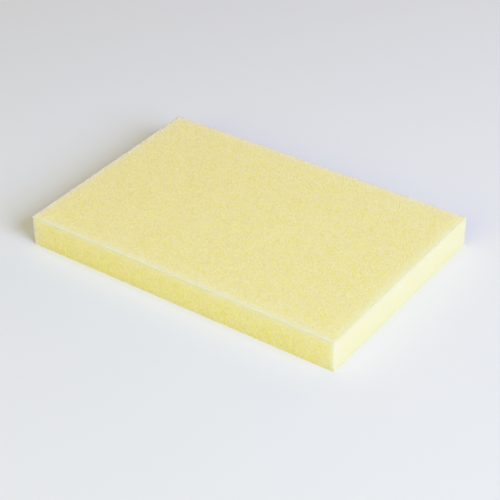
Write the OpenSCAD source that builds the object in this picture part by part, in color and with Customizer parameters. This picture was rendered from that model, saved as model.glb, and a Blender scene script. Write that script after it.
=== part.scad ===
// A rectangular block of flexible open-cell foam, cut from sheet with a straight knife.
// Millimetres, +Z up. The origin is the centre of the underside, the length runs along X
// and the width along Y.

/* [Block] */
// Length of the block, along X
block_length = 150; // [60:1:400]
// Width of the block, along Y
block_width = 100; // [40:1:300]
// Thickness of the foam sheet, along Z
block_thickness = 14; // [5:0.5:60]

/* [Cut edges] */
// Radius of the twelve cut edges, where the loose cell ends rub away
edge_radius = 0.5; // [0.2:0.1:2]

/* [Hidden] */
round_facets = 48;
block_size = [block_length, block_width, block_thickness];
// The core is the block less one edge radius on every side: the rounds are centred on its edges
core_size = block_size - 2 * edge_radius * [1, 1, 1];
SIDES = [-1, 1];
UP = [0, 0, 1];

// The three flat pairs of faces: the core, grown to its full size along one axis at a time
module face_slabs() {
  for (axis = [0 : 2])
    cube([for (i = [0 : 2]) i == axis ? block_size[i] : core_size[i]], center = true);
}

// The four rounded edges that run along Z in a core of the given size
module upright_edges(size) {
  for (x = SIDES, y = SIDES)
    translate([x * size[0] / 2, y * size[1] / 2, 0])
      cylinder(r = edge_radius, h = size[2], center = true, $fn = round_facets);
}

// All twelve rounded edges, as the same four laid along each axis in turn
module cut_edges() {
  upright_edges(core_size);
  rotate([90, 0, 0]) upright_edges([core_size[0], core_size[2], core_size[1]]);
  rotate([0, 90, 0]) upright_edges([core_size[2], core_size[1], core_size[0]]);
}

// The eight corners, where three rounded edges meet
module corners() {
  for (x = SIDES, y = SIDES, z = SIDES)
    translate([x * core_size[0] / 2, y * core_size[1] / 2, z * core_size[2] / 2])
      sphere(r = edge_radius, $fn = round_facets);
}

module foam_block() {
  color("khaki")
    translate(block_thickness / 2 * UP)
      union() {
        face_slabs();
        cut_edges();
        corners();
      }
}

foam_block();
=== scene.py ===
import itertools
import math

import bpy
import numpy as np
from mathutils import Matrix, Vector
from mathutils.geometry import delaunay_2d_cdt


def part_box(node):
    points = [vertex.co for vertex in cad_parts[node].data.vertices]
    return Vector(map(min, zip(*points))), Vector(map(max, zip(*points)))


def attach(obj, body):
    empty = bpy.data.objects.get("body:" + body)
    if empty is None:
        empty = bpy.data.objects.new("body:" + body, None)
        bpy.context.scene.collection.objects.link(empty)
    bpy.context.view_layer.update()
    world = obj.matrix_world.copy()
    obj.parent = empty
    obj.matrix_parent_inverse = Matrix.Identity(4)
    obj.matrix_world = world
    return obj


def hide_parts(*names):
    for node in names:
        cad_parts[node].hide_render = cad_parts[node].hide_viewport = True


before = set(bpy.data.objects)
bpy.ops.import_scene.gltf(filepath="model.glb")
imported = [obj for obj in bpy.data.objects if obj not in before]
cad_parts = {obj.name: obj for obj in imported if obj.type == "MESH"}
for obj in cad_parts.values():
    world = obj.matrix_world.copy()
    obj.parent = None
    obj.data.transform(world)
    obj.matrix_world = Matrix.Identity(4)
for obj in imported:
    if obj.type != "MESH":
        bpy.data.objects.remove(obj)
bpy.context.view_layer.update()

# ------------------------------------------------------------------ Foam block
# One block of soft open-cell foam, cut square from a larger slab. The cut opens the cells,
# so every face is a net of struts round small pores, whose depths are painted a darker, deeper
# yellow as shade. A paler line runs along the upper and upright edges: partly the thin cut
# edge's own paleness, partly painted light shining through the thin edge.

MM = 0.001
block_low, block_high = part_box("foam_block")
block_middle = (block_low + block_high) / 2
block_half = (block_high - block_low) / 2

# The mesh is worked out in millimetres, about the middle of the block
half = np.array(block_half) / MM
EDGE_RADIUS = 0.3
PORE_PITCH = 0.97
# The underside lies flat on the table: fewer, shallower pores do there
UNDERSIDE_PITCH = 1.9
PORE_DEPTH = (0.10, 0.34)
UNDERSIDE_DEPTH = (0.05, 0.16)
STRUT_DEPTH = (0.0, 0.06)
EDGE_DEPTH = (0.0, 0.06)
# About how far a pore strays from its even place, and how near the rim it may come, as shares
# of the pitch
STRAY = 0.14
RIM_GAP = 0.5
# Evenly spread pores lie in rows this share of the pitch apart
ROW_GAP = math.sqrt(3) / 2
# Points nearer than this would count as one
SAME_POINT = 1e-5

chance = np.random.default_rng(11)


def edge_places():
    """The eight corners, then the points along the twelve edges, a pore pitch or so apart."""
    places = [half * signs for signs in itertools.product((-1, 1), repeat=3)]
    for run in range(3):
        steps = round(2 * half[run] / PORE_PITCH)
        for signs in itertools.product((-1, 1), repeat=2):
            along = np.linspace(-half[run], half[run], steps + 1)[1:-1]
            along = along + chance.uniform(-STRAY, STRAY, len(along)) * PORE_PITCH
            line = np.empty((len(along), 3))
            line[:] = np.insert(np.delete(half, run) * signs, run, 0)
            line[:, run] = along
            places.extend(line)
    return np.array(places)


def pore_places(half_width, half_height, pitch):
    """Pore middles over a face: staggered rows, each pore strayed a little from its place."""
    rows = round(2 * half_height / (pitch * ROW_GAP))
    across = round(2 * half_width / pitch)
    row, column = np.mgrid[0:rows, 0:across]
    # A pore lies a quarter of the way across its column, and in odd rows three quarters
    x = (column + 0.25 + 0.5 * (row % 2)) / across * 2 * half_width - half_width
    y = (row + 0.5) / rows * 2 * half_height - half_height
    places = np.stack([x.ravel(), y.ravel()], axis=1)
    places += chance.normal(0, STRAY * pitch, places.shape)
    clear = np.array([half_width, half_height]) - RIM_GAP * pitch
    return places[(np.abs(places) < clear).all(axis=1)]


def cell_net(places):
    """Triangles from each place to the strut crossings round it, which lie at the middles of
    the Delaunay triangles. Crossing n is numbered len(places) + n. Returns crossings, faces."""
    flat = [Vector(place) for place in places.tolist()]
    triangles = np.array(delaunay_2d_cdt(flat, [], [], 0, SAME_POINT)[2])
    crossings = places[triangles].mean(axis=1)
    start = triangles.ravel()
    end = np.roll(triangles, -1, axis=1).ravel()
    left = np.repeat(np.arange(len(triangles)), 3)
    # The same edge run the other way belongs to the triangle on the right
    forward = start * len(places) + end
    backward = end * len(places) + start
    order = np.argsort(forward)
    found = np.searchsorted(forward[order], backward).clip(0, len(order) - 1)
    twin = order[found]
    inside = forward[twin] == backward
    right = np.where(inside, len(places) + left[twin], end)
    return crossings, np.stack([start, right, len(places) + left], axis=1)


def foam_skin():
    """All points of the cut foam, in millimetres about its middle, and its triangles."""
    shared = edge_places()
    places = [shared]
    depths = [chance.uniform(*EDGE_DEPTH, len(shared))]
    faces = []
    count = len(shared)
    for axis, side in itertools.product(range(3), (-1, 1)):
        across, up = (axis + 1) % 3, (axis + 2) % 3
        underside = axis == 2 and side == -1
        pitch = UNDERSIDE_PITCH if underside else PORE_PITCH
        depth = UNDERSIDE_DEPTH if underside else PORE_DEPTH
        rim = np.flatnonzero(shared[:, axis] == side * half[axis])
        pores = pore_places(half[across], half[up], pitch)
        crossings, net = cell_net(np.vstack([shared[rim][:, [across, up]], pores]))
        added = np.empty((len(pores) + len(crossings), 3))
        added[:, axis] = side * half[axis]
        added[:, [across, up]] = np.vstack([pores, crossings])
        places.append(added)
        depths.append(chance.uniform(*depth, len(pores)))
        depths.append(chance.uniform(*STRUT_DEPTH, len(crossings)))
        numbers = np.concatenate([rim, count + np.arange(len(added))])
        # The low side's triangles run the other way round, so that they too look outward
        faces.append(numbers[net] if side > 0 else numbers[net][:, ::-1])
        count += len(added)
    places = np.vstack(places)
    # Each point goes to the rounded block, and then in from its surface by its depth
    core = places.clip(EDGE_RADIUS - half, half - EDGE_RADIUS)
    outward = places - core
    outward /= np.linalg.norm(outward, axis=1, keepdims=True)
    skin = core + outward * (EDGE_RADIUS - np.concatenate(depths))[:, None]
    # The lower edges are pressed square against the table
    pressed = np.flatnonzero(shared[:, 2] == -half[2])
    skin[pressed] = shared[pressed]
    return skin, np.vstack(faces)


class Wire:
    """A socket of a material. Arithmetic on it adds the Math nodes that work it out."""

    def __init__(self, tree, socket=None):
        self.tree = tree
        self.socket = socket

    def node(self, kind, settings=None, sockets=None, out=0):
        """Adds a node: its settings first, then its sockets' values or links. Gives an output."""
        made = self.tree.nodes.new(kind)
        for name, value in (settings or {}).items():
            setattr(made, name, value)
        for name, value in (sockets or {}).items():
            if isinstance(value, Wire):
                self.tree.links.new(value.socket, made.inputs[name])
            else:
                made.inputs[name].default_value = value
        return Wire(self.tree, made.outputs[out] if made.outputs else None)

    def maths(self, operation, *values):
        return self.node("ShaderNodeMath", {"operation": operation}, dict(enumerate(values)))

    def __add__(self, other):
        return self.maths("ADD", self, other)

    def __radd__(self, other):
        return self.maths("ADD", other, self)

    def __sub__(self, other):
        return self.maths("SUBTRACT", self, other)

    def __rsub__(self, other):
        return self.maths("SUBTRACT", other, self)

    def __mul__(self, other):
        return self.maths("MULTIPLY", self, other)

    def __rmul__(self, other):
        return self.maths("MULTIPLY", other, self)

    def __truediv__(self, other):
        return self.maths("DIVIDE", self, other)

    def __rtruediv__(self, other):
        return self.maths("DIVIDE", other, self)

    def __pow__(self, other):
        return self.maths("POWER", self, other)

    def __rpow__(self, other):
        return self.maths("POWER", other, self)

    def __abs__(self):
        return self.maths("ABSOLUTE", self)

    def least(self, other):
        return self.maths("MINIMUM", self, other)

    def most(self, other):
        return self.maths("MAXIMUM", self, other)

    def ramp(self, low, high):
        """0 at low, 1 at high and smooth between."""
        settings = {"interpolation_type": "SMOOTHSTEP"}
        return self.node("ShaderNodeMapRange", settings, {0: self, 1: low, 2: high})

    def blend(self, first, second):
        """The colour that is first where this is 0 and second where it is 1."""
        # Sockets 6 and 7 and output 2 are a Mix node's colours
        settings = {"data_type": "RGBA", "clamp_factor": True}
        return self.node("ShaderNodeMix", settings, {0: self, 6: first, 7: second}, out=2)


# The cells vary between these two. The first is the colour deep in the pores, darker and deeper yellow as
# painted shade. A little of the third shades some of them
SHADED_PORE_COLOUR = (0.9, 0.782, 0.184, 1)
STRUT_COLOUR = (0.93, 0.826, 0.5, 1)
SHADE_COLOUR = (0.5, 0.4, 0.1, 1)
# All sizes of the finish are in millimetres
CELL_SIZE = 0.55
PATCH_SIZE = 0.95
CLOUD_SIZE = 9
FIBRE_SIZE = 0.45
FIBRE_HEIGHT = 0.1
# The cells stand this much taller than they are wide
TALLNESS = 1.8
# From bare strut to open pore, as a depth under the face, over which the painted shade in the pores
# deepens
STRUT_TO_PORE = (0.02, 0.26)
# How much the depth (the painted shade in the pores), the patches, the cloudiness and the shade each tell
PORE_SHADE_SHARE = 0.6
PATCH_SHARE = 0.4
CLOUD_SHARE = 0.2
SHADE_SHARE = 0.24
# The middle of a noise, which runs from 0 to 1
NOISE_MIDDLE = 0.5
# The paler rim, partly the thin cut edge's own paleness and partly painted light shining
# through the thin edge, fades inward. It is wider along the upright edges, where a millimetre
# counts as UPRIGHT of one
PALE_EDGE_AND_GLOW_COLOUR = (0.81, 0.77, 0.61, 1)
RIM_FADE = 2.0
UPRIGHT = 0.75
# Every RAGGED_SIZE or so the rim wanders in or out, by at most half of RAGGED
RAGGED_SIZE = 1.6
RAGGED = 3.2
# A narrow band of painted shade along the top edge of the right-hand end. The front's is weaker,
# as if it lay a set distance further from the edge
RIDGE_SHADE_COLOUR = (0.6, 0.54, 0.28, 1)
RIDGE_SHADE_FADE = 0.6
FRONT_RIDGE_SHADE = 0.45
# The right-hand end is plainer, as far in as END_DEPTH: these shares of its grain and of its pale
# rim with its painted glow are left, and its tone keeps near END_STRUT of the way from pore to strut
END_DEPTH = 2.0
END_GRAIN = 0.3
END_PALE_EDGE_AND_GLOW = 0.3
END_STRUT = 0.52
# How far light spreads inside the foam, and the heights between which that comes in
GLOW = 5.5
GLOW_START = (-1.5, 4.5)


def open_cell_foam():
    """Pale struts over pores painted deeper yellow as shade, paler along the upper and upright edges with
    painted glow.
    """
    material = bpy.data.materials.new("open_cell_foam")
    material.use_nodes = True
    tree = material.node_tree
    tree.nodes.clear()
    sheet = Wire(tree)
    place = sheet.node("ShaderNodeTexCoord", out="Object")
    along = [sheet.node("ShaderNodeSeparateXYZ", None, {0: place}, out=axis) for axis in range(3)]
    # How far a point lies in from each pair of faces, and from four of the faces
    x, y, z = [(block_half[axis] - abs(along[axis] - block_middle[axis])) / MM for axis in range(3)]
    top = (block_high.z - along[2]) / MM
    right = (block_high.x - along[0]) / MM
    front = (along[1] - block_low.y) / MM
    clear = (along[2] - block_low.z) / MM

    # Grain: cells for the shade, patches of them and faint clouds for the tone
    taller = {0: place, 1: (1, 1, 1 / TALLNESS)}
    stretched = sheet.node("ShaderNodeVectorMath", {"operation": "MULTIPLY"}, taller)
    cells = {"Vector": stretched, "Scale": 1 / (CELL_SIZE * MM)}
    cell = sheet.node("ShaderNodeTexVoronoi", None, cells, out="Color")
    shade = sheet.node("ShaderNodeSeparateColor", None, {0: cell}, out=1)
    patches = {"Vector": stretched, "Scale": 1 / (PATCH_SIZE * MM)}
    patch = sheet.node("ShaderNodeTexVoronoi", None, patches, out="Color")
    tone = sheet.node("ShaderNodeSeparateColor", None, {0: patch}, out=0)
    clouds = {"Vector": place, "Scale": 1 / (CLOUD_SIZE * MM), "Detail": 3.0}
    cloud = sheet.node("ShaderNodeTexNoise", None, clouds, out=0)
    # Painted shade: deeper under the face the colour goes towards the darker pore colour
    raised = 1 - x.least(y).least(z).ramp(*STRUT_TO_PORE)
    strut = raised * PORE_SHADE_SHARE + tone * PATCH_SHARE + (cloud - NOISE_MIDDLE) * CLOUD_SHARE

    # The plainer right-hand end, then the pale rim with its painted glow and the painted shade along the
    # top edge over the grain
    inward = right.ramp(0, END_DEPTH)
    grainy = inward * (1 - END_GRAIN) + END_GRAIN
    strut = (strut - END_STRUT) * grainy + END_STRUT
    shaded = (shade * SHADE_SHARE * grainy).blend(strut.blend(SHADED_PORE_COLOUR, STRUT_COLOUR), SHADE_COLOUR)
    wander = {"Vector": place, "Scale": 1 / (RAGGED_SIZE * MM)}
    ragged = sheet.node("ShaderNodeTexNoise", None, wander, out=0)
    from_edge = x.least(y).most(top).least(x.most(y) * UPRIGHT) + (ragged - NOISE_MIDDLE) * RAGGED
    # Pale rim: partly the cut edge's own paleness, partly painted light glowing through the thin upper
    # and upright edges
    rim = math.exp(-1 / RIM_FADE) ** from_edge * (inward * (1 - END_PALE_EDGE_AND_GLOW) + END_PALE_EDGE_AND_GLOW)
    # Painted shade: the very top edge of the right-hand end, and more weakly of the front, is painted
    # darker
    ridge_shade = math.exp(-1 / RIDGE_SHADE_FADE) ** right.least(front + FRONT_RIDGE_SHADE).most(top)
    colour = ridge_shade.blend(rim.blend(shaded, PALE_EDGE_AND_GLOW_COLOUR), RIDGE_SHADE_COLOUR)

    fibres = {"Vector": stretched, "Scale": 1 / (FIBRE_SIZE * MM)}
    fibre = sheet.node("ShaderNodeTexVoronoi", None, fibres, out="Distance")
    bump = {"Strength": 0.3, "Distance": FIBRE_HEIGHT * MM, "Height": fibre}
    normal = sheet.node("ShaderNodeBump", None, bump)
    face = {"Base Color": colour, "Roughness": 0.95, "Specular IOR Level": 0.15, "Normal": normal}
    glow = {"Subsurface Weight": 1.0, "Subsurface Radius": (1.0, 1.0, 1.0), "Subsurface Scale": GLOW * MM}
    solid = sheet.node("ShaderNodeBsdfPrincipled", None, face)
    soft = sheet.node("ShaderNodeBsdfPrincipled", None, {**face, **glow})
    # Down by the table light doesn't spread inside, and higher up it does
    mixed = {0: clear.ramp(*GLOW_START), 1: solid, 2: soft}
    shader = sheet.node("ShaderNodeMixShader", None, mixed)
    sheet.node("ShaderNodeOutputMaterial", None, {"Surface": shader})
    return material


skin, triangles = foam_skin()
mesh = bpy.data.meshes.new("cut_foam")
mesh.from_pydata((skin * MM + np.array(block_middle)).tolist(), [], triangles.tolist())
mesh.shade_flat()
mesh.materials.append(open_cell_foam())
block = bpy.data.objects.new("cut_foam", mesh)
bpy.context.scene.collection.objects.link(block)
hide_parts("foam_block")
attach(block, "root")

# ------------------------------------------------------------------ Table
# A plain matt white table top, wide enough to fill the camera's view. It is the setting and
# not part of the block.

# In metres
TABLE_SIZE = 8.0
TABLE_COLOUR = (0.79, 0.81, 0.86, 1)


def matt_white():
    material = bpy.data.materials.new("matt_white")
    material.use_nodes = True
    sheet = Wire(material.node_tree)
    material.node_tree.nodes.clear()
    sockets = {"Base Color": TABLE_COLOUR, "Roughness": 0.95, "Specular IOR Level": 0.1}
    shader = sheet.node("ShaderNodeBsdfPrincipled", None, sockets)
    sheet.node("ShaderNodeOutputMaterial", None, {"Surface": shader})
    return material


bpy.ops.mesh.primitive_plane_add(size=TABLE_SIZE, location=(0, 0, block_low.z))
table = bpy.context.object
table.name = "table"
table.data.materials.append(matt_white())

# ------------------------------------------------------------------ Light
# Plain soft studio light: a cool softbox on the right, a weaker yellow one in front, faint
# ones overhead and on the far side, and a dim warm room.

# The size and the distance are in metres
SOFTBOX_SIZE = 0.75
SOFTBOX_DISTANCE = 1.3
SOFTBOX_WATTS = 20
# Azimuth and elevation in degrees, as for the camera, and the strength in red, green, blue
SOFTBOXES = {
    "key_softbox": (77, 30, (0.68, 0.79, 1.062)),
    "front_softbox": (0, 30, (0.268, 0.262, 0.02)),
    "back_softbox": (180, 20, (0.14, 0.08, 0.0)),
    "top_softbox": (0, 88, (0.144, 0.146, 0.205)),
}
ROOM_COLOUR = (0.24, 0.209, 0.158, 1)


def heading(azimuth, elevation):
    """The direction towards something seen at this azimuth and elevation from the block."""
    turn, rise = math.radians(azimuth), math.radians(elevation)
    return Vector((math.sin(turn) * math.cos(rise), -math.cos(turn) * math.cos(rise), math.sin(rise)))


for name, (azimuth, elevation, strength) in SOFTBOXES.items():
    light = bpy.data.lights.new(name, "AREA")
    light.size = SOFTBOX_SIZE
    light.energy = SOFTBOX_WATTS
    light.color = strength
    softbox = bpy.data.objects.new(name, light)
    softbox.location = heading(azimuth, elevation) * SOFTBOX_DISTANCE
    softbox.rotation_euler = softbox.location.to_track_quat("Z", "Y").to_euler()
    softbox.visible_camera = False
    bpy.context.scene.collection.objects.link(softbox)

room = bpy.data.worlds.new("room")
room.use_nodes = True
room.node_tree.nodes["Background"].inputs["Color"].default_value = ROOM_COLOUR
bpy.context.scene.world = room

# The picture keeps its tones as they are up to SHOULDER, and eases the bright ones to white
SHOULDER = 0.7
WHITE_LEVEL = 2.5
STEPS = 9
look = bpy.context.scene.view_settings
look.view_transform = "Standard"
look.use_curve_mapping = True
look.curve_mapping.white_level = (WHITE_LEVEL,) * 3
# Curve 3 acts on red, green and blue together
curve = look.curve_mapping.curves[3]
curve.points[1].location = (1, 1)
curve.points.new(SHOULDER / WHITE_LEVEL / 2, SHOULDER / 2)
for step in range(STEPS):
    bright = SHOULDER + (WHITE_LEVEL - SHOULDER) * (step / STEPS) ** 2
    eased = 1 - (1 - SHOULDER) * math.exp((SHOULDER - bright) / (1 - SHOULDER))
    curve.points.new(bright / WHITE_LEVEL, eased)
look.curve_mapping.update()

# ------------------------------------------------------------------ Camera
# A short telephoto looks down on the block from its front right-hand side.

CAMERA_AZIMUTH = 36.45
CAMERA_ELEVATION = 35.19
CAMERA_ROLL = -1.43
# In block lengths, so that the view holds if the block's length changes
CAMERA_DISTANCE = 4.107
CAMERA_AIM = (0.0193, -0.0207)
LENS = 106.3
SENSOR = 36
block_length = block_high.x - block_low.x
back = heading(CAMERA_AZIMUTH, CAMERA_ELEVATION)
level = heading(CAMERA_AZIMUTH + 90, 0)
roll = math.radians(CAMERA_ROLL)
right = level * math.cos(roll) + back.cross(level) * math.sin(roll)
aim = Vector((CAMERA_AIM[0], CAMERA_AIM[1], 0)) * block_length + Vector((0, 0, block_low.z))
camera = bpy.data.objects.new("camera", bpy.data.cameras.new("camera"))
camera.matrix_world = Matrix((right, back.cross(right), back)).transposed().to_4x4()
camera.location = aim + back * CAMERA_DISTANCE * block_length
camera.data.lens = LENS
camera.data.sensor_width = SENSOR
bpy.context.scene.collection.objects.link(camera)
bpy.context.scene.camera = camera
